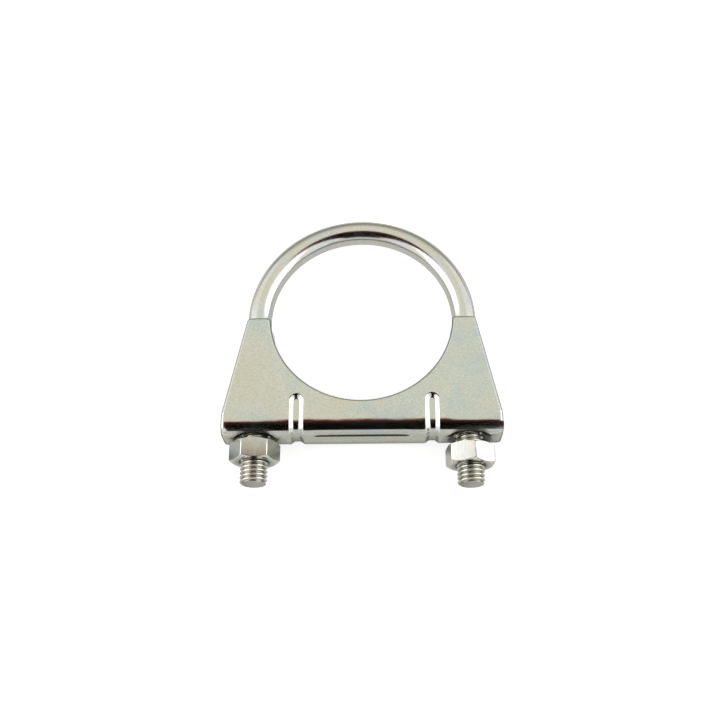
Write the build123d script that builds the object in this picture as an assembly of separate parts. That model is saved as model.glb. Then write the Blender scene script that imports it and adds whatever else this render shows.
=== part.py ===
from build123d import *
import math
import os

# Exhaust clamp of the U-bolt kind for a 54 mm pipe: one bent rod with M8 ends,
# one folded saddle and two hex nuts. Millimetres.
# Z is the pipe's axis. +Y points from the nuts towards the bow, and +X is to the right
# when Z points at the eye. The origin is the centre of the saddle's notch for the pipe.

# pipe and rod
PIPE_RADIUS = 27.0
ROD_RADIUS = 3.6
BOW_RADIUS = 30.85          # centreline of the bow, and half the distance between the legs
BOW_CENTRE_Y = 0.4          # the clamp is slack, so the bow stands a little off the pipe's centre
LEG_ENDS = {-1: -50.3, 1: -50.8}   # Y of the bolt's left and right end

# M8 x 1.25 thread, drawn plain: the bolt's at its crests, and the nut's just clear of them
THREAD_RADIUS = 3.95
THREAD_LENGTH = 31.0
TIP_CHAMFER = 0.45
NUT_BORE_RADIUS = 4.05
MOUTH_CHAMFER = 0.35        # countersink at each end of a nut's bore

# saddle: sheet folded to a channel
SHEET = 2.0
HALF_WIDTH = 6.2            # from the middle plane to a cheek's outer face
BEND_OUTER = 4.0
WEB_Y = -37.5               # outer face of the web
HALF_LENGTH = 40.25
HORN_TOP_Y = -0.7
HORN_HALF_SPAN = 33.85      # at the top of the horns, before their corners are rounded
SIDE_SLOPE = 0.211          # how far a side leans out for each millimetre down
HORN_CORNER = 0.8
SIDE_CORNER = 6.0
EDGE_ROUND = 0.5            # roll-over that punching leaves on the outer edges

# ribs pressed into the saddle from outside, and the bumps that they make inside
RIBS_X = (-18.7, 20.2)      # the ribs don't stand quite evenly about the middle
RIB_DEPTH = 0.8
RIB_HALF_TOP = 2.15
RIB_HALF_FLOOR = 0.75
RIB_END_Y = -27.2           # centre of a rib's round end

# nut seats: cones pressed in round the bolt holes
HOLE_RADIUS = 4.5
SEAT_RADIUS = 6.2
SEAT_DEPTH = 1.1

LAP = 0.2                   # how far a cutting or added solid reaches past the face that it works on

# M8 hex nuts
NUT_ACROSS_FLATS = 12.8
NUT_HEIGHT = 5.7
NUT_CHAMFER = math.radians(30)
NUT_FACE_RADIUS = 6.35      # circle that the chamfer leaves on each end
# gap between web and nut, and turn of the hexagon, which has a flat on top at 0 degrees
NUTS = {
    "nut_left": {"side": -1, "gap": 0.65, "turn": 5.0},
    "nut_right": {"side": 1, "gap": 2.1, "turn": 39.0},
}

BOTTOM = (Align.CENTER, Align.CENTER, Align.MIN)
TOP = (Align.CENTER, Align.CENTER, Align.MAX)


def turned(*outline):
    """Solid turned round Z from an outline of (radius, height) points."""
    return revolve(Plane.XZ * make_face(Polyline(*outline, close=True)), axis=Axis.Z)


def on_leg(side):
    """Frame of a leg: its Z runs up the leg from the bolt's end."""
    foot = (side * BOW_RADIUS, LEG_ENDS[side], 0)
    return Location(Plane(origin=foot, x_dir=(1, 0, 0), z_dir=(0, 1, 0)))


def make_u_bolt():
    bolt = revolve(
        Pos(BOW_RADIUS, BOW_CENTRE_Y) * Rot(90, 0, 0) * Circle(ROD_RADIUS),
        axis=Axis((0, BOW_CENTRE_Y, 0), (0, 0, 1)),
        revolution_arc=180,
    )
    runout = THREAD_RADIUS - ROD_RADIUS
    for side, end_y in LEG_ENDS.items():
        leg_top = BOW_CENTRE_Y - end_y
        bolt += on_leg(side) * turned(
            (0, 0),
            (THREAD_RADIUS - TIP_CHAMFER, 0),
            (THREAD_RADIUS, TIP_CHAMFER),
            (THREAD_RADIUS, THREAD_LENGTH - runout),
            (ROD_RADIUS, THREAD_LENGTH),
            (ROD_RADIUS, leg_top),
            (0, leg_top),
        )
    return bolt


def bar(half_depth, low_y, bend):
    """Bar along X, as long as the saddle and open upwards, with its two low edges rounded."""
    tall = HORN_TOP_Y + SHEET - low_y
    block = Pos(0, low_y + tall / 2, 0) * Box(2 * HALF_LENGTH, tall, 2 * half_depth)
    low_edges = block.edges().filter_by(Axis.X).group_by(Axis.Y)[0]
    return fillet(low_edges, bend)


def cheek_outline():
    """The saddle seen along Z: leaning sides, horns, and the notch for the pipe."""
    lean_y = HORN_TOP_Y - (HALF_LENGTH - HORN_HALF_SPAN) / SIDE_SLOPE
    right = [
        (HORN_HALF_SPAN, HORN_TOP_Y),
        (HALF_LENGTH, lean_y),
        (HALF_LENGTH, WEB_Y - SHEET),
    ]
    left = [(-x, y) for x, y in reversed(right)]
    outline = make_face(Polyline(*right, *left, close=True))
    sides = outline.vertices().filter_by(lambda v: abs(v.Y - lean_y) < LAP)
    outline = fillet(sides, SIDE_CORNER)
    outline -= Circle(PIPE_RADIUS)
    horns = outline.vertices().filter_by(lambda v: abs(v.Y - HORN_TOP_Y) < LAP)
    return fillet(horns, HORN_CORNER)


def rolls_over(edge):
    """True for the edges of the folded blank, false for its corner and bend lines."""
    is_bend_line = edge.length > 2 * HALF_LENGTH - LAP
    is_corner_line = edge.geom_type == GeomType.LINE and abs(edge.length - 2 * HALF_WIDTH) < LAP
    return not (is_bend_line or is_corner_line)


def rib_path(inset):
    """Down one cheek, round the bend, across the web and up the other cheek."""
    z = HALF_WIDTH - inset
    y = WEB_Y + inset
    bend = BEND_OUTER - inset
    bend_y = y + bend
    bend_z = z - bend
    half = math.sqrt(0.5) * bend
    return Wire([
        Line((0, RIB_END_Y, z), (0, bend_y, z)).edge(),
        ThreePointArc((0, bend_y, z), (0, bend_y - half, bend_z + half), (0, y, bend_z)).edge(),
        Line((0, y, bend_z), (0, y, -bend_z)).edge(),
        ThreePointArc((0, y, -bend_z), (0, bend_y - half, -bend_z - half), (0, bend_y, -z)).edge(),
        Line((0, bend_y, -z), (0, RIB_END_Y, -z)).edge(),
    ])


def rib(inset, spread):
    """Solid of a pressed rib: it starts LAP above the face at inset and ends RIB_DEPTH below it."""
    widening = (RIB_HALF_TOP - RIB_HALF_FLOOR) / RIB_DEPTH
    start = inset - LAP
    deep = RIB_DEPTH + LAP
    top = RIB_HALF_TOP + spread + LAP * widening
    floor = RIB_HALF_FLOOR + spread
    z = HALF_WIDTH - start
    corners = [(-top, 0), (top, 0), (floor, -deep), (-floor, -deep)]
    section = Plane(origin=(0, RIB_END_Y, z), x_dir=(1, 0, 0), z_dir=(0, -1, 0))
    body = sweep(section * make_face(Polyline(*corners, close=True)), path=rib_path(start))
    end = Pos(0, RIB_END_Y, z) * Cone(floor, top, deep, align=TOP)
    return body + end + mirror(end, about=Plane.XY)


def seat_cone(start_y, spread, deep):
    """Cone along Y that narrows inwards from start_y; it starts LAP outside that face."""
    widening = (SEAT_RADIUS - HOLE_RADIUS) / SEAT_DEPTH
    wide = SEAT_RADIUS + spread + LAP * widening
    narrow = SEAT_RADIUS + spread - deep * widening
    cone = Cone(wide, narrow, deep + LAP, align=BOTTOM)
    return Pos(0, start_y - LAP, 0) * Rot(-90, 0, 0) * cone


def make_saddle():
    """Folded channel with two pressed ribs and two pressed seats with their bolt holes."""
    outside = bar(HALF_WIDTH, WEB_Y, BEND_OUTER)
    outside = outside & extrude(cheek_outline(), HALF_WIDTH + SHEET, both=True)
    outside = fillet(outside.edges().filter_by(rolls_over), EDGE_ROUND)
    saddle = outside - bar(HALF_WIDTH - SHEET, WEB_Y + SHEET, BEND_OUTER - SHEET)

    # a face pressed in at a slope keeps the sheet's thickness, so its inner side is wider
    rib_spread = SHEET * math.tan(math.atan2(RIB_DEPTH, RIB_HALF_TOP - RIB_HALF_FLOOR) / 2)
    seat_spread = SHEET * math.tan(math.atan2(SEAT_DEPTH, SEAT_RADIUS - HOLE_RADIUS) / 2)
    groove = rib(0, 0)
    bump = rib(SHEET, rib_spread)
    seat = seat_cone(WEB_Y, 0, SEAT_DEPTH + LAP)
    boss = seat_cone(WEB_Y + SHEET, seat_spread, SEAT_DEPTH)
    boss = boss & Box(HALF_LENGTH, -2 * WEB_Y, 2 * (HALF_WIDTH - SHEET) + LAP)
    hole_depth = BEND_OUTER + LAP
    hole = Pos(0, WEB_Y - LAP, 0) * Rot(-90, 0, 0) * Cylinder(HOLE_RADIUS, hole_depth, align=BOTTOM)
    for rib_x in RIBS_X:
        saddle += Pos(rib_x, 0, 0) * bump
        saddle -= Pos(rib_x, 0, 0) * groove
    for side in (-1, 1):
        saddle += Pos(side * BOW_RADIUS, 0, 0) * boss
        saddle -= Pos(side * BOW_RADIUS, 0, 0) * (seat + hole)
    return saddle


def make_nut(side, gap, turn):
    """Hex nut on its leg, chamfered at both ends, with a countersunk bore."""
    half_flats = NUT_ACROSS_FLATS / 2
    corner = half_flats / math.cos(math.radians(30))
    drop = (corner - NUT_FACE_RADIUS) * math.tan(NUT_CHAMFER)
    mouth = NUT_BORE_RADIUS + MOUTH_CHAMFER
    envelope = turned(
        (mouth, 0),
        (NUT_FACE_RADIUS, 0),
        (corner, drop),
        (corner, NUT_HEIGHT - drop),
        (NUT_FACE_RADIUS, NUT_HEIGHT),
        (mouth, NUT_HEIGHT),
        (NUT_BORE_RADIUS, NUT_HEIGHT - MOUTH_CHAMFER),
        (NUT_BORE_RADIUS, MOUTH_CHAMFER),
    )
    hexagon = Rot(0, 0, turn) * RegularPolygon(half_flats, 6, major_radius=False)
    start = WEB_Y - gap - NUT_HEIGHT - LEG_ENDS[side]
    return on_leg(side) * Pos(0, 0, start) * (envelope & extrude(hexagon, NUT_HEIGHT))


if __name__ == "__main__":
    os.makedirs("parts", exist_ok=True)
    export_step(make_saddle(), "parts/saddle.step")
    export_step(make_u_bolt(), "parts/u_bolt.step")
    for name, place in NUTS.items():
        export_step(make_nut(**place), f"parts/{name}.step")
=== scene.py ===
import bpy
import bmesh
import math
from mathutils import Matrix, Vector


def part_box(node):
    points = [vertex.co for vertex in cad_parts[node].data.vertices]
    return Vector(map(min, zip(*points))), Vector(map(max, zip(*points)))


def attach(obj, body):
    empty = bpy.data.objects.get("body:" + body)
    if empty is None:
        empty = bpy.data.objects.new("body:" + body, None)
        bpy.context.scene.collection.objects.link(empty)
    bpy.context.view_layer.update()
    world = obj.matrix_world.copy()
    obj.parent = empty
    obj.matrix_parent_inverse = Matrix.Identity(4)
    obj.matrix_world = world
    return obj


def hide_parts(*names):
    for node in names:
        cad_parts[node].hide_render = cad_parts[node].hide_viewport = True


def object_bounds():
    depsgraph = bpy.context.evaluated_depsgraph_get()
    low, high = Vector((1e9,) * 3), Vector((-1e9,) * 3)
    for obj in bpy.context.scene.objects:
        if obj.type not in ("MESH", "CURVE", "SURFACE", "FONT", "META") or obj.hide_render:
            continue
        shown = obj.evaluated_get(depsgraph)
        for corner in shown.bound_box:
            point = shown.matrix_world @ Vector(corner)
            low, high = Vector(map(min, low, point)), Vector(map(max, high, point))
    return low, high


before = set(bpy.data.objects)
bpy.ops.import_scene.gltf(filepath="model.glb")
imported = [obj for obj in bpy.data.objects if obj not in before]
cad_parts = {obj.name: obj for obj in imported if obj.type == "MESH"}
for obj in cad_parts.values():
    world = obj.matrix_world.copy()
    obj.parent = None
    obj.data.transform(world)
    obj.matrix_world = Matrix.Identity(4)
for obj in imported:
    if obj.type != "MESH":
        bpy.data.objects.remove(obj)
cadLow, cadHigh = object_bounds()
mm = 0.001
upwards = Vector((0, 0, 1))


# helpers for meshes

def steps(start, end, count):
    return [start + (end - start) * i / count for i in range(count + 1)]


# the larger of two values, rounded over where they meet
def softMax(a, b, reach):
    return max(a, b) + max(reach - abs(a - b), 0) ** 2 / (4 * reach)


def softMin(a, b, reach):
    return -softMax(-a, -b, reach)


# 0 up to 0 and 1 from 1 on, with a straight slope that is eased at both ends
def easedRamp(t, ease=0.2):
    t = min(max(t, 0), 1)
    slope = 1 / (1 - ease)
    if t < ease:
        return slope * t * t / (2 * ease)
    if t > 1 - ease:
        return 1 - slope * (1 - t) ** 2 / (2 * ease)
    return slope * (t - ease / 2)


def everything(bm):
    return bm.verts[:] + bm.edges[:] + bm.faces[:]


def cutAcross(bm, point, normal, dropBelow=False, dropAbove=False):
    bmesh.ops.bisect_plane(bm, geom=everything(bm), dist=1e-8, plane_co=point, plane_no=normal,
                           clear_inner=dropBelow, clear_outer=dropAbove)


def addInto(bm, other, matrix):
    mesh = bpy.data.meshes.new("passing")
    other.to_mesh(mesh)
    other.free()
    mesh.transform(matrix)
    bm.from_mesh(mesh)
    bpy.data.meshes.remove(mesh)


def openEdges(bm, test):
    return [e for e in bm.edges if e.is_boundary and all(test(v.co) for v in e.verts)]


def newObject(name, bm):
    mesh = bpy.data.meshes.new(name)
    bm.to_mesh(mesh)
    bm.free()
    made = bpy.data.objects.new(name, mesh)
    bpy.context.scene.collection.objects.link(made)
    return made


pieceFinish = {
    # outer edges bent more than this are painted brighter, partly as rub wear and partly as a painted
    # highlight
    "brightEdgeStart": 12,     # degrees that an outer edge bends by before it starts to rub bright
    "brightEdgeSpan": 24,
    "flatWeight": 80,
}


# Smooth everywhere but on edges sharper than this angle; large flats keep their own normals.
# Two values go with each vertex: one is 1 where shade is painted into the colour, in recesses, thread roots
# and along sheared edges; the other is 1 on outer edges, which are painted brighter, partly as rub wear and
# partly as a painted highlight.
def finishPiece(name, bm, sharpDegrees, shadeAt, body, material):
    bmesh.ops.remove_doubles(bm, verts=bm.verts[:], dist=1e-7)
    bmesh.ops.recalc_face_normals(bm, faces=bm.faces[:])
    paintedShade = bm.verts.layers.float.get("paintedShade") or bm.verts.layers.float.new("paintedShade")
    edgeWearAndGlint = bm.verts.layers.float.new("edgeWearAndGlint")
    for vert in bm.verts:
        bent = max(edge.calc_face_angle_signed(0) for edge in vert.link_edges)
        vert[edgeWearAndGlint] = easedRamp((math.degrees(bent) - pieceFinish["brightEdgeStart"]) / pieceFinish["brightEdgeSpan"])
        vert[paintedShade] = min(max(shadeAt(vert.co), vert[paintedShade]), 1)
    for face in bm.faces:
        face.smooth = True
    for edge in bm.edges:
        edge.smooth = edge.calc_face_angle(0) < math.radians(sharpDegrees)
    loose = sum(1 for e in bm.edges if len(e.link_faces) != 2)
    piece = newObject(name, bm)
    weighted = piece.modifiers.new("flats stay flat", "WEIGHTED_NORMAL")
    weighted.mode = "FACE_AREA"
    weighted.weight = pieceFinish["flatWeight"]
    weighted.keep_sharp = True
    piece.data.materials.append(material)
    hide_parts(body)
    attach(piece, body)
    print("  ", name, len(piece.data.polygons), "faces, open edges", loose)
    return piece


# helpers for materials

def linear(hexColour):
    parts = [int(hexColour[i:i + 2], 16) / 255 for i in (1, 3, 5)]
    return [c / 12.92 if c <= 0.04045 else ((c + 0.055) / 1.055) ** 2.4 for c in parts] + [1]


# a node with its settings and its inputs, where an input is a value or another node's output
def addNode(tree, kind, settings=None, inputs=None):
    node = tree.nodes.new(kind)
    for key, value in (settings or {}).items():
        setattr(node, key, value)
    for key, value in (inputs or {}).items():
        if isinstance(value, bpy.types.NodeSocket):
            tree.links.new(value, node.inputs[key])
        else:
            node.inputs[key].default_value = value
    return node


def setStops(node, stops):
    ramp = node.color_ramp
    while len(ramp.elements) < len(stops):
        ramp.elements.new(0.5)
    for element, (place, colour) in zip(ramp.elements, stops):
        element.position = place
        element.color = colour


zincLook = {
    "driftDetail": 3.0,
    "driftRoughness": 0.6,
    "driftDistortion": 0.2,
    "grainDetail": 4.0,
    "grainRoughness": 0.6,
    "smudgeDetail": 2.0,
    # grain range over which outer edges turn bright, for rub wear and a painted highlight
    "brightEdgeGrain": (0.35, 0.6),     # an outer edge is bare where the grain is above this
    "speckleGrain": (0.3, 0.7),
    # painted shade: how strongly it is laid on, how much more it varies with the smudge noise, and how much
    # rougher it makes the surface
    "shadeLeast": 0.6,               # how much of a recess is filmed, and how much more in smudges
    "shadeUnevenness": 0.5,
    "roughnessInShade": 0.12,
    "glossGrain": 0.35,
    "glossSpan": (0.35, 1.0),
}


# Bright zinc plate on steel. The base steel's finish shows through it, and the passivation
# gives a faint drift of colour between straw, green and blue.
def makeZinc(name, finish):
    look = zincLook
    material = bpy.data.materials.new(name)
    material.use_nodes = True
    tree = material.node_tree
    tree.nodes.clear()
    place = addNode(tree, "ShaderNodeTexCoord")
    drift = addNode(tree, "ShaderNodeTexNoise", None,
                    {"Vector": place.outputs["Object"], "Scale": 1 / finish["driftSize"],
                     "Detail": look["driftDetail"], "Roughness": look["driftRoughness"],
                     "Distortion": look["driftDistortion"]})
    tint = addNode(tree, "ShaderNodeValToRGB", None, {"Fac": drift.outputs["Fac"]})
    setStops(tint, [(spot, linear(colour)) for spot, colour in finish["tints"]])
    grainPlace = addNode(tree, "ShaderNodeMapping", None,
                         {"Vector": place.outputs["Object"], "Scale": finish["grainStretch"]})
    grain = addNode(tree, "ShaderNodeTexNoise", None,
                    {"Vector": grainPlace.outputs["Vector"], "Scale": 1 / finish["grainSize"],
                     "Detail": look["grainDetail"], "Roughness": look["grainRoughness"]})
    smudge = addNode(tree, "ShaderNodeTexNoise", None,
                     {"Vector": place.outputs["Object"], "Scale": 1 / finish["smudgeSize"],
                      "Detail": look["smudgeDetail"]})

    # bright bare metal where edges rub, which is also a painted highlight along the edges; and painted shade
    # down in recesses, thread roots and sheared edges, which are made rougher too
    edgeWearAndGlint = addNode(tree, "ShaderNodeAttribute", {"attribute_name": "edgeWearAndGlint"})
    patchy = addNode(tree, "ShaderNodeMapRange", None,
                     {"Value": grain.outputs["Fac"], "From Min": look["brightEdgeGrain"][0],
                      "From Max": look["brightEdgeGrain"][1]})
    brightEdge = addNode(tree, "ShaderNodeMath", {"operation": "MULTIPLY"},
                     {0: edgeWearAndGlint.outputs["Fac"], 1: patchy.outputs["Result"]})
    speckle = addNode(tree, "ShaderNodeMapRange", None,
                      {"Value": grain.outputs["Fac"], "From Min": look["speckleGrain"][0],
                       "From Max": look["speckleGrain"][1],
                       "To Min": finish["speckle"], "To Max": 1.0})
    tinted = addNode(tree, "ShaderNodeVectorMath", {"operation": "SCALE"},
                     {0: tint.outputs["Color"], "Scale": speckle.outputs["Result"]})
    # painted highlight and rub wear: outer edges mix towards a brighter colour
    bright = addNode(tree, "ShaderNodeMix", {"data_type": "RGBA"},
                     {"Factor": brightEdge.outputs[0], "A": tinted.outputs[0], "B": linear(finish["wornAndGlintColour"])})
    paintedShade = addNode(tree, "ShaderNodeAttribute", {"attribute_name": "paintedShade"})
    uneven = addNode(tree, "ShaderNodeMath", {"operation": "MULTIPLY_ADD"},
                     {0: smudge.outputs["Fac"], 1: look["shadeUnevenness"], 2: look["shadeLeast"]})
    # painted shade: the mask, made uneven, mixes the colour towards a dark shade colour
    paintedShadeAmount = addNode(tree, "ShaderNodeMath", {"operation": "MULTIPLY", "use_clamp": True},
                     {0: paintedShade.outputs["Fac"], 1: uneven.outputs[0]})
    colour = addNode(tree, "ShaderNodeMix", {"data_type": "RGBA"},
                     {"Factor": paintedShadeAmount.outputs[0], "A": bright.outputs["Result"],
                      "B": linear(finish["shadeColour"])})

    mixed = addNode(tree, "ShaderNodeMath", {"operation": "MULTIPLY_ADD"},
                    {0: grain.outputs["Fac"], 1: look["glossGrain"], 2: smudge.outputs["Fac"]})
    gloss = addNode(tree, "ShaderNodeMapRange", None,
                    {"Value": mixed.outputs[0], "From Min": look["glossSpan"][0],
                     "From Max": look["glossSpan"][1],
                     "To Min": finish["roughness"][0], "To Max": finish["roughness"][1]})
    dulled = addNode(tree, "ShaderNodeMath", {"operation": "MULTIPLY_ADD"},
                     {0: paintedShadeAmount.outputs[0], 1: look["roughnessInShade"], 2: gloss.outputs["Result"]})
    relief = addNode(tree, "ShaderNodeBump", None,
                     {"Height": grain.outputs["Fac"], "Strength": finish["relief"],
                      "Distance": finish["reliefDepth"]})
    metal = addNode(tree, "ShaderNodeBsdfPrincipled", None,
                    {"Base Color": colour.outputs["Result"], "Metallic": 1.0,
                     "Roughness": dulled.outputs[0], "Normal": relief.outputs["Normal"]})
    addNode(tree, "ShaderNodeOutputMaterial", None, {"Surface": metal.outputs["BSDF"]})
    return material


# saddle: a strip folded to a channel, with ribs and nut seats pressed in from outside

saddleLow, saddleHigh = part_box("saddle")
saddle = {
    "halfLength": saddleHigh.x,
    "halfWidth": saddleHigh.z,
    "webY": saddleLow.y,
    "hornTopY": saddleHigh.y,
    "sheet": 2.0 * mm,
    "bend": 4.0 * mm,
    "pipeRadius": 27.0 * mm,
    "hornHalfSpan": 33.85 * mm,
    "sideSlope": 0.211,
    "hornCorner": 1.15 * mm,
    "sideCorner": 0.65 * mm,
    "rollOver": 1.0 * mm,
    # below this depth the rolled edge gets a painted dark line, painted shade along its sheared part
    "shearStart": 0.12 * mm,   # how far down the roll-over the dull sheared edge sets in
    "shearFull": 0.34 * mm,
    "shearShade": 0.8,
    "ribsX": (-18.7 * mm, 20.2 * mm),
    "ribDepth": 0.8 * mm,
    "ribHalfTop": 2.15 * mm,
    "ribHalfFloor": 0.75 * mm,
    "ribTopY": -25.05 * mm,
    "ribPoint": 1.05,          # how many times longer than wide a rib's end is
    "ribPinch": 0.08 * mm,     # how much slimmer a rib is on the fold, to each side
    "ribPinchReach": 5 * mm,
    "sagDepth": 0.10 * mm,     # how far folding draws the front cheek's foot in
    "sagAbove": 0.9 * mm,
    "sagReach": 1.8 * mm,
    "sagFromWeb": 0.5 * mm,
    "sagOntoWeb": 3 * mm,
    "sagLevel": 0.75,
    "sagRipples": [(0.16, 2.9 * mm, 1), (0.10, 0.9 * mm, 0)],   # share, length and shift of each
    "sagBySeats": 0.25,        # share of it that is left beside the bolt holes
    "sagSeatReach": 9 * mm,
    "ledge": 0.38 * mm,        # mark of the folding tool's edge on the web
    "ledgeAcross": 3.3 * mm,
    "ledgeHalfLength": 14.5 * mm,
    "ledgeRunOut": 2.5 * mm,
    "ledgeStep": 0.22 * mm,
    "ledgeFade": 2.4 * mm,
    "holeX": 30.85 * mm,
    "holeRadius": 4.5 * mm,
    "seatRadius": 6.2 * mm,
    "seatDepth": 1.1 * mm,
    "seatEase": 0.15 * mm,
    # painted shade round each nut seat: how far out, how high up the web, and over what it fades
    "seatShadeReach": 0.9 * mm,
    "seatShadeDepth": 2.6 * mm,     # above the web's outer face
    "seatShadeFade": 1.0 * mm,
}
saddle["bendY"] = saddle["webY"] + saddle["bend"]
saddle["webHalf"] = saddle["halfWidth"] - saddle["bend"]
saddle["cheekStart"] = saddle["webHalf"] + saddle["bend"] * math.pi / 2
saddle["ribTop"] = saddle["cheekStart"] + saddle["ribTopY"] - saddle["bendY"]


# how deep the ribs are pressed at a place on the flat strip; the inner face bulges wider
def ribPress(x, across, inner):
    s = saddle
    slopeAngle = math.atan2(s["ribDepth"], s["ribHalfTop"] - s["ribHalfFloor"])
    spread = inner * s["sheet"] * math.tan(slopeAngle / 2)
    fromFold = abs(abs(across) - (s["webHalf"] + s["cheekStart"]) / 2)
    pinch = s["ribPinch"] * (1 - easedRamp(fromFold / s["ribPinchReach"]))
    beside = min(abs(x - ribX) for ribX in s["ribsX"]) + pinch
    beyond = max(abs(across) - s["ribTop"] + s["ribHalfTop"] * s["ribPoint"], 0) / s["ribPoint"]
    away = math.hypot(beside, beyond) - spread
    return s["ribDepth"] * easedRamp((s["ribHalfTop"] - away) / (s["ribHalfTop"] - s["ribHalfFloor"]))


# small marks of folding on the front: the cheek's foot rolls in unevenly, and the web has a ledge
def foldMarks(x, across):
    s = saddle
    fromSeat = (s["holeX"] - abs(x)) / s["sagSeatReach"]
    uneven = s["sagLevel"]
    for share, length, shift in s["sagRipples"]:
        uneven += share * math.sin(x / length + shift)
    uneven *= s["sagBySeats"] + (1 - s["sagBySeats"]) * easedRamp(fromSeat)
    start = s["cheekStart"] + s["sagAbove"]
    sag = s["sagDepth"] * uneven * easedRamp((start - across) / s["sagReach"], 0.5)
    sag *= easedRamp((across - s["webHalf"] - s["sagFromWeb"]) / s["sagOntoWeb"], 0.5)
    beyond = across - s["ledgeAcross"]
    along = easedRamp((s["ledgeHalfLength"] - abs(x)) / s["ledgeRunOut"])
    ledge = s["ledge"] * along * easedRamp(beyond / s["ledgeStep"]) * (1 - easedRamp(beyond / s["ledgeFade"]))
    return sag + ledge


# a place on the flat strip, folded: inner is 0 on the outer face and 1 on the inner one
def folded(x, across, inner):
    s = saddle
    depth = inner * s["sheet"] + ribPress(x, across, inner)
    if not inner:
        depth += foldMarks(x, across)
    turn = min(max((abs(across) - s["webHalf"]) / s["bend"], 0), math.pi / 2)
    y = s["bendY"] - (s["bend"] - depth) * math.cos(turn) + max(abs(across) - s["cheekStart"], 0)
    z = min(abs(across), s["webHalf"]) + (s["bend"] - depth) * math.sin(turn)
    steepness = s["seatDepth"] / (s["seatRadius"] - s["holeRadius"])
    spread = inner * s["sheet"] * math.tan(math.atan(steepness) / 2)
    away = max(math.hypot(abs(x) - s["holeX"], z), s["holeRadius"] - 0.5 * mm)
    cone = s["webY"] + inner * s["sheet"] + (s["seatRadius"] + spread - away) * steepness
    return Vector((x, softMax(y, cone, s["seatEase"]), math.copysign(z, across)))


def makeFoldedStrip():
    s = saddle
    spare = 1 * mm
    halfFlat = s["cheekStart"] + s["hornTopY"] - s["bendY"] + spare
    bm = bmesh.new()
    # the grid is cut finer wherever a rib, a seat, the fold or the ledge bends it
    bmesh.ops.create_grid(bm, x_segments=1, y_segments=1, size=1)
    bmesh.ops.scale(bm, vec=(s["halfLength"] + spare, halfFlat, 1), verts=bm.verts[:])
    ribReach = s["ribHalfTop"] + 0.7 * mm
    seatReach = s["seatRadius"] + 0.8 * mm
    lengthwise = steps(-15 * mm, 15 * mm, 40)
    crosswise = steps(-s["webHalf"], s["webHalf"], 14)
    crosswise += steps(s["ledgeAcross"] - 0.03 * mm, s["ledgeAcross"] + 0.25 * mm, 8)
    crosswise += steps(s["cheekStart"], s["cheekStart"] + s["sagAbove"], 6)
    ribEnd = s["ribTop"] - s["ribHalfTop"] * s["ribPoint"]
    for ribX in s["ribsX"]:
        lengthwise += steps(ribX - ribReach, ribX + ribReach, 24)
    for side in (-1, 1):
        lengthwise += steps(side * (s["holeX"] - seatReach), side * (s["holeX"] + seatReach), 48)
        crosswise += steps(side * s["webHalf"], side * s["cheekStart"], 26)
        crosswise += steps(side * ribEnd, side * (s["ribTop"] + 0.8 * mm), 18)
    for x in lengthwise:
        cutAcross(bm, (x, 0, 0), (1, 0, 0))
    for across in crosswise:
        cutAcross(bm, (0, across, 0), (0, 1, 0))
    made = bmesh.ops.extrude_face_region(bm, geom=bm.faces[:])
    for vert in made["geom"]:
        if isinstance(vert, bmesh.types.BMVert):
            vert.co.z = 1
    for vert in bm.verts:
        vert.co = folded(*vert.co)
    bmesh.ops.recalc_face_normals(bm, faces=bm.faces[:])
    return newObject("foldedStrip", bm)


# the saddle's outline seen along Z: leaning sides, horns, and the notch for the pipe
def makeOutline():
    s = saddle
    bm = bmesh.new()
    notchX = math.sqrt(s["pipeRadius"] ** 2 - s["hornTopY"] ** 2)
    hornAngle = math.atan2(s["hornTopY"], notchX)
    leanY = s["hornTopY"] - (s["halfLength"] - s["hornHalfSpan"]) / s["sideSlope"]
    first = bm.verts.new((notchX, s["hornTopY"], 0))
    spun = bmesh.ops.spin(bm, geom=[first], cent=(0, 0, 0), axis=upwards, angle=-(math.pi + 2 * hornAngle),
                          steps=64, use_merge=False)
    last = [v for v in spun["geom_last"] if isinstance(v, bmesh.types.BMVert)][0]
    right = [(s["hornHalfSpan"], s["hornTopY"]), (s["halfLength"], leanY),
             (s["halfLength"], s["webY"] - 1 * mm)]
    corners = [(-x, y) for x, y in right] + list(reversed(right))
    chain = [last] + [bm.verts.new((x, y, 0)) for x, y in corners] + [first]
    for start, end in zip(chain, chain[1:]):
        bm.edges.new((start, end))
    bmesh.ops.contextual_create(bm, geom=bm.edges[:])
    horns = [v for v in chain if abs(v.co.y - s["hornTopY"]) < 1e-7]
    sides = [v for v in chain if abs(v.co.y - leanY) < 1e-7]
    for verts, offset, segments in ((sides, s["sideCorner"], 3), (horns, s["hornCorner"], 6)):
        bmesh.ops.bevel(bm, geom=verts, offset=offset, segments=segments, profile=0.5, affect="VERTICES",
                        material=-1)
    made = bmesh.ops.extrude_face_region(bm, geom=bm.faces[:])
    raised = [v for v in made["geom"] if isinstance(v, bmesh.types.BMVert)]
    bmesh.ops.translate(bm, vec=(0, 0, 2.4 * s["halfWidth"]), verts=raised)
    bmesh.ops.translate(bm, vec=(0, 0, -1.2 * s["halfWidth"]), verts=bm.verts[:])
    bmesh.ops.recalc_face_normals(bm, faces=bm.faces[:])
    return newObject("outline", bm)


def makeHoles():
    s = saddle
    bm = bmesh.new()
    for side in (-1, 1):
        place = Matrix.Translation((side * s["holeX"], s["webY"], 0)) @ Matrix.Rotation(math.pi / 2, 4, "X")
        bmesh.ops.create_cone(bm, cap_ends=True, segments=72, radius1=s["holeRadius"],
                              radius2=s["holeRadius"], depth=16 * mm, matrix=place)
    bmesh.ops.recalc_face_normals(bm, faces=bm.faces[:])
    return newObject("holes", bm)


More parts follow.
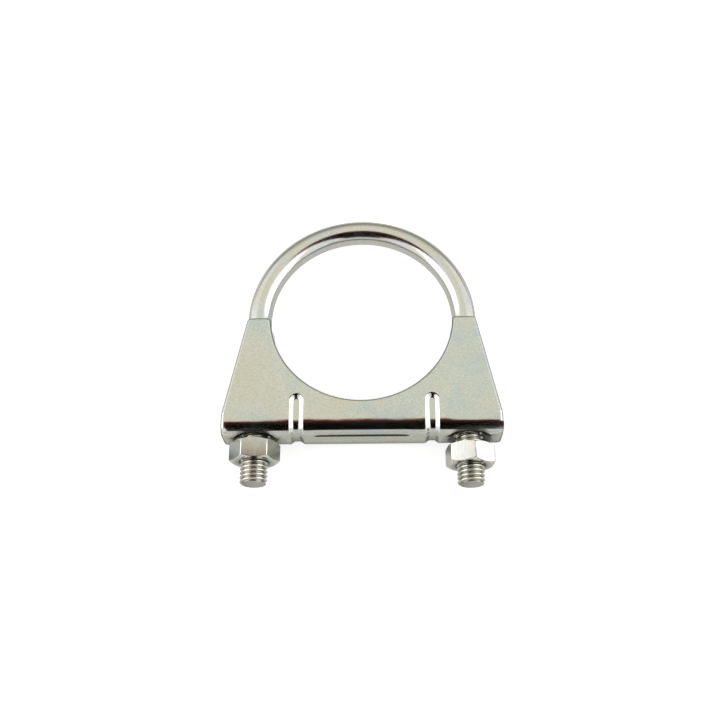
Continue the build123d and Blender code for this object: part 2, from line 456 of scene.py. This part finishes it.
def makeSaddle(material):
    s = saddle
    strip = makeFoldedStrip()
    cutters = [(makeOutline(), "INTERSECT"), (makeHoles(), "DIFFERENCE")]
    for cutter, operation in cutters:
        cut = strip.modifiers.new("cut", "BOOLEAN")
        cut.operation = operation
        cut.object = cutter
        cut.solver = "EXACT"
    bm = bmesh.new()
    bm.from_object(strip, bpy.context.evaluated_depsgraph_get())
    for used in [strip] + [cutter for cutter, operation in cutters]:
        bpy.data.objects.remove(used)
    bmesh.ops.remove_doubles(bm, verts=bm.verts[:], dist=2e-7)
    bmesh.ops.dissolve_limit(bm, angle_limit=math.radians(0.06), verts=bm.verts[:], edges=bm.edges[:],
                             use_dissolve_boundaries=False)

    paintedShade = bm.verts.layers.float.new("paintedShade")

    # 4 mm on the outer face, wherever it is measured round the fold, and 2 mm on the inner one
    def reach(co):
        return math.hypot(max(s["bendY"] - co.y, 0), max(abs(co.z) - s["webHalf"], 0))

    def isRim(face):
        centre = face.calc_center_median()
        atEnd = abs(centre.x) > s["halfLength"] - 0.01 * mm
        return abs(face.normal.z) < 0.02 and (atEnd or centre.y > s["bendY"])

    rim = {face for face in bm.faces if isRim(face)}
    outer = [e for e in bm.edges if sum(1 for f in e.link_faces if f in rim) == 1
             and all(reach(v.co) > s["bend"] - 0.02 * mm for v in e.verts)]
    print("   rim faces", len(rim), "outer rim edges", len(outer))
    rolled = bmesh.ops.bevel(bm, geom=outer, offset=s["rollOver"], segments=5, profile=0.5, affect="EDGES",
                             clamp_overlap=False, material=-1)
    # a painted dark line, painted shade, along the sheared part of the rolled edge
    for vert in rolled["verts"]:
        down = s["bend"] - reach(vert.co)
        sheared = easedRamp((down - s["shearStart"]) / (s["shearFull"] - s["shearStart"]))
        vert[paintedShade] = sheared * s["shearShade"]

    # painted shade round each nut seat, fading out away from the hole and up the web
    def seatShade(co):
        near = s["seatRadius"] + s["seatShadeReach"] - math.hypot(abs(co.x) - s["holeX"], co.z)
        return min(near, s["webY"] + s["seatShadeDepth"] - co.y) / s["seatShadeFade"]

    return finishPiece("saddlePressing", bm, 28, seatShade, "saddle", material)


# threads: M8 coarse, right-hand, in step along each leg from the bolt's end

threads = {
    "pitch": 1.25 * mm,
    "pitchRadius": 3.594 * mm,
    "flankDegrees": 30,
    "sides": 48,
    "rows": 14,
    "boltCrest": 3.95 * mm,
    "boltRoot": 3.31 * mm,
    "nutCrest": 3.40 * mm,
    "nutRoot": 4.05 * mm,
    "play": 0.07 * mm,
    "rounding": 0.10 * mm,
}


# an open tube along Z with a thread's surface: one pitch of its profile spun upwards
def threadTube(inside, outside, play, startZ, endZ):
    t = threads
    slope = 1 / math.tan(math.radians(t["flankDegrees"]))
    turns = math.ceil((endZ - startZ) / t["pitch"]) + 3
    foot = (math.floor(startZ / t["pitch"]) - 2) * t["pitch"]
    bm = bmesh.new()
    previous = None
    for part in steps(0, 1, t["rows"]):
        flank = t["pitchRadius"] + (play + (abs(2 * part - 1) - 0.5) * t["pitch"] / 2) * slope
        radius = softMin(softMax(flank, inside, t["rounding"]), outside, t["rounding"])
        vert = bm.verts.new((radius, 0, foot + part * t["pitch"]))
        if previous:
            bm.edges.new((previous, vert))
        previous = vert
    bmesh.ops.spin(bm, geom=everything(bm), cent=(0, 0, 0), axis=upwards, angle=2 * math.pi,
                   dvec=upwards * t["pitch"] / t["sides"], steps=t["sides"], use_merge=False)
    oneTurn = everything(bm)
    for turn in range(1, turns):
        made = bmesh.ops.duplicate(bm, geom=oneTurn)
        raised = [v for v in made["geom"] if isinstance(v, bmesh.types.BMVert)]
        bmesh.ops.translate(bm, vec=upwards * turn * t["pitch"], verts=raised)
    bmesh.ops.remove_doubles(bm, verts=bm.verts[:], dist=1e-6)
    cutAcross(bm, (0, 0, startZ), upwards, dropBelow=True)
    cutAcross(bm, (0, 0, endZ), upwards, dropAbove=True)
    return bm


# X of the leg stays X, its Z runs up the leg from the bolt's end
def legFrame(side, endY):
    return Matrix(((1, 0, 0, side * bolt["legX"]), (0, 0, 1, endY), (0, -1, 0, 0), (0, 0, 0, 1)))


# bolt: a rod bent to a bow, with a rolled thread on each leg

bolt = {
    "rodRadius": 3.6 * mm,
    "legX": 30.85 * mm,
    "bowCentreY": 0.4 * mm,
    "endY": {-1: -50.3 * mm, 1: -50.8 * mm},
    "threadLength": 31 * mm,
    "runOut": 1.9 * mm,
    "tipRadius": 3.45 * mm,
    # painted shade in the thread's roots, fading out towards the crests and the thread's top
    "shadeFade": 0.45 * mm,     # depth over which a thread's film grows towards its root
    "shadeStart": 0.45,
    "shadeTopFade": 1.5 * mm,
    "ringSides": 64,
    "bowSteps": 128,
}


def makeBolt(material):
    b = bolt
    bm = bmesh.new()
    place = Matrix.Translation((-b["legX"], b["bowCentreY"], 0)) @ Matrix.Rotation(math.pi / 2, 4, "X")
    bmesh.ops.create_circle(bm, cap_ends=False, segments=b["ringSides"], radius=b["rodRadius"], matrix=place)
    leftRing = bm.edges[:]
    spun = bmesh.ops.spin(bm, geom=bm.verts[:] + leftRing, cent=(0, b["bowCentreY"], 0), axis=upwards,
                          angle=-math.pi, steps=b["bowSteps"], use_merge=False)
    rightRing = [e for e in spun["geom_last"] if isinstance(e, bmesh.types.BMEdge)]
    for side, ring in ((-1, leftRing), (1, rightRing)):
        topY = b["endY"][side] + b["threadLength"]
        made = bmesh.ops.extrude_edge_only(bm, edges=ring)
        lowered = [v for v in made["geom"] if isinstance(v, bmesh.types.BMVert)]
        bmesh.ops.translate(bm, vec=(0, topY - b["bowCentreY"], 0), verts=lowered)

        threadTop = b["threadLength"] - 0.3 * mm
        leg = threadTube(threads["boltRoot"], threads["boltCrest"], 0, 0, threadTop)
        for vert in leg.verts:
            height = vert.co.z
            radius = vert.co.xy.length
            fade = easedRamp((height - threadTop + b["runOut"]) / b["runOut"])
            wanted = radius + (b["rodRadius"] - radius) * fade
            wanted = min(wanted, b["tipRadius"] + height)
            vert.co.xy *= wanted / radius
        tip = openEdges(leg, lambda co: co.z < 1e-7)
        bmesh.ops.edgeloop_fill(leg, edges=tip)
        addInto(bm, leg, legFrame(side, b["endY"][side]))
        ends = openEdges(bm, lambda co: co.x * side > 0)
        bmesh.ops.bridge_loops(bm, edges=ends)

    # painted shade down in the thread's roots
    def rootShade(co):
        side = 1 if co.x > 0 else -1
        fromTop = b["endY"][side] + b["threadLength"] - b["runOut"] - co.y
        radius = math.hypot(abs(co.x) - b["legX"], co.z)
        down = (threads["boltCrest"] - radius) / b["shadeFade"] - b["shadeStart"]
        return min(down, fromTop / b["shadeTopFade"])

    return finishPiece("bentBolt", bm, 40, rootShade, "u_bolt", material)


# nuts: hexagons chamfered at both ends, with a countersunk thread

nuts = {
    "acrossFlats": 12.8 * mm,
    "faceRadius": 6.35 * mm,
    "chamferDegrees": 30,
    "cornerRound": 0.22 * mm,
    # rings round the chamfer's outer edge: how far in from the flats, and above the chamfer's cone
    "edgeProfile": [(0, 0.08 * mm), (0.015 * mm, 0.025 * mm), (0.05 * mm, -0.029 * mm)],
    "mouthRadius": 4.5 * mm,
    # painted shade round the bore's mouth
    "shadeReach": 0.3 * mm,
    "shadeFade": 0.4 * mm,
    "turnDegrees": {-1: 5, 1: 39},    # from having a flat on top
}


def makeNut(name, side, node, material):
    n = nuts
    low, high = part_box(node)
    start = low.y - bolt["endY"][side]
    height = high.y - low.y
    corner = n["acrossFlats"] / 2 / math.cos(math.radians(30))
    chamfer = math.tan(math.radians(n["chamferDegrees"]))
    bm = bmesh.new()
    turned = Matrix.Rotation(math.radians(n["turnDegrees"][side] + 30), 4, "Z")
    bmesh.ops.create_circle(bm, cap_ends=False, segments=6, radius=corner, matrix=turned)
    bmesh.ops.bevel(bm, geom=bm.verts[:], offset=n["cornerRound"], segments=3, profile=0.5, affect="VERTICES",
                    material=-1)
    flats = [e for e in bm.edges if e.calc_length() > corner / 2]
    bmesh.ops.subdivide_edges(bm, edges=flats, cuts=13)
    bmesh.ops.translate(bm, vec=upwards * (start + height / 2), verts=bm.verts[:])
    middle = bm.edges[:]
    for end, inwards in ((start, 1), (start + height, -1)):
        ring = middle
        before = 0
        for inset, lift in n["edgeProfile"]:
            made = bmesh.ops.extrude_edge_only(bm, edges=ring)
            ring = [e for e in made["geom"] if isinstance(e, bmesh.types.BMEdge)]
            for vert in {v for e in ring for v in e.verts}:
                full = vert.co.xy.length + before
                drop = max(full - n["faceRadius"], 0) * chamfer
                vert.co.xy *= (full - inset) / (full - before)
                vert.co.z = end + inwards * (drop + lift)
            before = inset
        made = bmesh.ops.extrude_edge_only(bm, edges=ring)
        for vert in made["geom"]:
            if isinstance(vert, bmesh.types.BMVert):
                vert.co.xy *= n["faceRadius"] / vert.co.xy.length
                vert.co.z = end

    bore = threadTube(threads["nutCrest"], threads["nutRoot"], threads["play"], start, start + height)
    for vert in bore.verts:
        inwards = min(vert.co.z - start, start + height - vert.co.z)
        radius = vert.co.xy.length
        vert.co.xy *= max(radius, n["mouthRadius"] - inwards) / radius
    addInto(bm, bore, Matrix.Identity(4))
    for z in (start, start + height):
        bmesh.ops.bridge_loops(bm, edges=openEdges(bm, lambda co: abs(co.z - z) < 1e-7))
    bmesh.ops.transform(bm, matrix=legFrame(side, bolt["endY"][side]), verts=bm.verts[:])

    # painted shade in the bore, out to a little beyond its mouth
    def boreShade(co):
        radius = math.hypot(abs(co.x) - bolt["legX"], co.z)
        return (n["mouthRadius"] + n["shadeReach"] - radius) / n["shadeFade"]

    return finishPiece(name, bm, 24, boreShade, node, material)


# finishes

sheetZinc = makeZinc("zincPlatedSheet", {    # cold-rolled strip: a satin sheen, faintly cloudy
    "driftSize": 12 * mm,
    "tints": [(0.36, "#E0DDD0"), (0.47, "#E0E0D7"), (0.56, "#DADFD8"), (0.66, "#D2DBDB")],
    "speckle": 0.80,
    # the colours of bright edges (rub wear and a painted highlight) and of painted shade in recesses and
    # along sheared edges
    "wornAndGlintColour": "#EEEDE8",
    "shadeColour": "#121310",
    "grainStretch": (0.7, 1.0, 1.0),
    "grainSize": 0.45 * mm,
    "smudgeSize": 9 * mm,
    "roughness": (0.10, 0.17),
    "relief": 0.3,
    "reliefDepth": 0.02 * mm,
})
rodZinc = makeZinc("zincPlatedRod", {    # bright-drawn rod: nearly a mirror, with a fine bloom on it
    "driftSize": 11 * mm,
    "tints": [(0.34, "#E0DCCF"), (0.46, "#E1DFD6"), (0.58, "#DDDFDB"), (0.68, "#D8DCDC")],
    "speckle": 0.84,
    # the colours of bright edges (rub wear and a painted highlight) and of painted shade in the thread roots
    "wornAndGlintColour": "#F2F1EC",
    "shadeColour": "#858174",
    "grainStretch": (1.0, 1.0, 1.0),
    "grainSize": 0.5 * mm,
    "smudgeSize": 6 * mm,
    "roughness": (0.11, 0.22),
    "relief": 0.22,
    "reliefDepth": 0.02 * mm,
})
nutZinc = makeZinc("zincPlatedNut", {    # cold-forged nut: bright, with soft drag marks from its die
    "driftSize": 5 * mm,
    "tints": [(0.34, "#E2DFD0"), (0.46, "#E0E0D8"), (0.58, "#DCE0DC"), (0.68, "#D6DEE2")],
    "speckle": 0.88,
    # the colours of bright edges (rub wear and a painted highlight) and of painted shade round the bore's
    # mouth
    "wornAndGlintColour": "#F2F1EC",
    "shadeColour": "#1E1D1A",
    "grainStretch": (1.0, 0.3, 1.0),
    "grainSize": 0.6 * mm,
    "smudgeSize": 3 * mm,
    "roughness": (0.12, 0.24),
    "relief": 0.25,
    "reliefDepth": 0.03 * mm,
})

print("saddle")
makeSaddle(sheetZinc)
print("bolt")
makeBolt(rodZinc)
print("nuts")
makeNut("leftNut", -1, "nut_left", nutZinc)
makeNut("rightNut", 1, "nut_right", nutZinc)


# studio: a pale floor, soft boxes at the sides, and glowing cards that only the metal sees, which paint its
# reflections

floorZ = cadLow.z
studio = {
    "floorSize": 6.0,
    "floorDrop": 0.02 * mm,
    "floorColour": "#F4F4F4",
    "floorGlow": 0.64,
    "worldFill": 0.4,
    "sideLamp": 3.4,
    # painted reflection: a glowing grey roof, lighter towards its top
    "roofReflectionColours": [(0.0, "#989688"), (0.10, "#AEACA0"), (0.30, "#DAD9CE"), (0.48, "#F1F1E6")],
    # painted dark reflection: a near-black band with a brown fringe
    "darkReflectionColours": [(-0.34, "#0A0503"), (-0.045, "#0A0503"), (-0.015, "#351409"), (0.007, "#6C371F"),
                    (0.022, "#A87650")],
    # painted reflection: a glowing grey front
    "frontReflectionColour": "#DADADE",
    # painted reflection: a brown strip along the dark band
    "brownReflectionColour": "#7A4426",
    # painted reflection of the floor with a painted contact shadow: darker near the object, darkest in a thin
    # line just under the web
    "groundReflectionAndShadow": [(-0.25, "#DCDCD8"), (-0.085, "#D6D6D2"), (-0.055, "#D0D0CA"), (-0.040, "#C8C8C0"),
                      (-0.0375, "#64645E"), (-0.034, "#C0C0BA"), (0.0, "#D6D6D2")],
    # each card's left and right in X, and its bends in (y, z); the dark one stands off to one side
    "roofReflection": (-0.22, 0.22, [(0.12, floorZ), (0.30, 0.10), (0.45, 0.30), (0.40, 0.45), (0.20, 0.5),
                               (-0.02, 0.5)]),
    "darkReflection": (-0.105, 0.085, [(0.022, 0.21), (-0.21, 0.21), (-0.34, 0.158)]),
    "brownReflection": (-0.118, 0.095, [(0.022, 0.211), (-0.21, 0.211)]),
    "frontReflection": (-0.5, 0.5, [(-0.85, floorZ), (-0.85, 0.36)]),
    "groundReflection": (-0.09, 0.09, [(-0.85, floorZ), (0.12, floorZ)]),
    "lampX": 0.9,
    "lampZ": 0.5,
    "lampSize": (0.9, 0.9),
    "lampAim": (0, -0.01, 0),
}


def shownPath(tree):
    path = addNode(tree, "ShaderNodeLightPath")
    first = addNode(tree, "ShaderNodeMath", {"operation": "MAXIMUM"},
                    {0: path.outputs["Is Camera Ray"], 1: path.outputs["Is Glossy Ray"]})
    return addNode(tree, "ShaderNodeMath", {"operation": "MAXIMUM"},
                   {0: first.outputs[0], 1: path.outputs["Is Transmission Ray"]}).outputs[0]


def makeWorld():
    world = bpy.data.worlds.new("studioWorld")
    bpy.context.scene.world = world
    world.use_nodes = True
    tree = world.node_tree
    tree.nodes.clear()
    fill = studio["worldFill"]
    strength = addNode(tree, "ShaderNodeMapRange", None,
                       {"Value": shownPath(tree), "To Min": fill, "To Max": 1.0})
    glow = addNode(tree, "ShaderNodeBackground", None,
                   {"Color": (1, 1, 1, 1), "Strength": strength.outputs["Result"]})
    addNode(tree, "ShaderNodeOutputWorld", None, {"Surface": glow.outputs["Background"]})


def makeFloor():
    bm = bmesh.new()
    bmesh.ops.create_grid(bm, x_segments=1, y_segments=1, size=studio["floorSize"] / 2)
    bmesh.ops.translate(bm, vec=(0, 0, cadLow.z - studio["floorDrop"]), verts=bm.verts[:])
    floor = newObject("floor", bm)
    paper = bpy.data.materials.new("matWhitePaper")
    paper.use_nodes = True
    tree = paper.node_tree
    tree.nodes.clear()
    mat = addNode(tree, "ShaderNodeBsdfDiffuse", None, {"Color": linear(studio["floorColour"])})
    strength = addNode(tree, "ShaderNodeMath", {"operation": "MULTIPLY"},
                       {0: shownPath(tree), 1: studio["floorGlow"]})
    glow = addNode(tree, "ShaderNodeEmission", None, {"Color": (1, 1, 1, 1), "Strength": strength.outputs[0]})
    both = addNode(tree, "ShaderNodeAddShader", None, {0: mat.outputs[0], 1: glow.outputs[0]})
    addNode(tree, "ShaderNodeOutputMaterial", None, {"Surface": both.outputs[0]})
    floor.data.materials.append(paper)


# A glowing card that only mirroring surfaces see: it lights nothing and casts no shadow, so its colours are a
# painted reflection. Its colours are one colour, or stops of (place, colour) along an axis.
def makeCard(name, colours, axis="Y"):
    left, right, points = studio[name]
    bm = bmesh.new()
    low = [bm.verts.new((left, y, z)) for y, z in points]
    for start, end in zip(low, low[1:]):
        bm.edges.new((start, end))
    made = bmesh.ops.extrude_edge_only(bm, edges=bm.edges[:])
    across = [v for v in made["geom"] if isinstance(v, bmesh.types.BMVert)]
    bmesh.ops.translate(bm, vec=(right - left, 0, 0), verts=across)
    card = newObject(name, bm)
    board = bpy.data.materials.new(name + "Board")
    board.use_nodes = True
    tree = board.node_tree
    tree.nodes.clear()
    if isinstance(colours, str):
        shade = linear(colours)
    else:
        place = addNode(tree, "ShaderNodeTexCoord")
        split = addNode(tree, "ShaderNodeSeparateXYZ", None, {0: place.outputs["Object"]})
        first, last = colours[0][0], colours[-1][0]
        along = addNode(tree, "ShaderNodeMapRange", None,
                        {"Value": split.outputs[axis], "From Min": first, "From Max": last})
        ramp = addNode(tree, "ShaderNodeValToRGB", None, {"Fac": along.outputs["Result"]})
        setStops(ramp, [((spot - first) / (last - first), linear(colour)) for spot, colour in colours])
        shade = ramp.outputs["Color"]
    glow = addNode(tree, "ShaderNodeEmission", None, {"Color": shade, "Strength": 1.0})
    addNode(tree, "ShaderNodeOutputMaterial", None, {"Surface": glow.outputs[0]})
    card.data.materials.append(board)
    card.visible_camera = False
    card.visible_diffuse = False
    card.visible_shadow = False
    card.visible_transmission = False


def makeLamp(name, place, aim, size, power):
    data = bpy.data.lights.new(name, "AREA")
    data.shape = "RECTANGLE"
    data.size, data.size_y = size
    data.energy = power
    lamp = bpy.data.objects.new(name, data)
    lamp.location = place
    lamp.rotation_mode = "QUATERNION"
    lamp.rotation_quaternion = (Vector(aim) - Vector(place)).to_track_quat("-Z", "Y")
    bpy.context.scene.collection.objects.link(lamp)


print("studio")
makeWorld()
makeFloor()
makeCard("roofReflection", studio["roofReflectionColours"], "Z")
makeCard("darkReflection", studio["darkReflectionColours"])
makeCard("brownReflection", studio["brownReflectionColour"])
makeCard("frontReflection", studio["frontReflectionColour"])
makeCard("groundReflection", studio["groundReflectionAndShadow"])
for name, side in (("leftBox", -1), ("rightBox", 1)):
    makeLamp(name, (side * studio["lampX"], 0.0, studio["lampZ"]), studio["lampAim"], studio["lampSize"],
             studio["sideLamp"])


# camera

camera = {
    "elevation": 66.788,
    "azimuth": 2.979,
    "roll": -3.325,
    "distance": 285.6 * mm,
    "aim": (-0.547 * mm, -12.249 * mm, 0),
    "lens": 47.88,
}


def makeCamera():
    c = camera
    azimuth, elevation, roll = (math.radians(c[key]) for key in ("azimuth", "elevation", "roll"))
    back = Vector((math.sin(azimuth) * math.cos(elevation), -math.cos(azimuth) * math.cos(elevation),
                   math.sin(elevation)))
    data = bpy.data.cameras.new("camera")
    data.sensor_width = 36
    data.lens = c["lens"]
    data.clip_start = 0.01
    view = bpy.data.objects.new("camera", data)
    view.location = Vector(c["aim"]) + back * c["distance"]
    turn = (-back).to_track_quat("-Z", "Y").to_matrix() @ Matrix.Rotation(roll, 3, "Z")
    view.rotation_mode = "QUATERNION"
    view.rotation_quaternion = turn.to_quaternion()
    bpy.context.scene.collection.objects.link(view)
    bpy.context.scene.camera = view


print("camera")
makeCamera()
bpy.context.scene.view_settings.view_transform = "Standard"
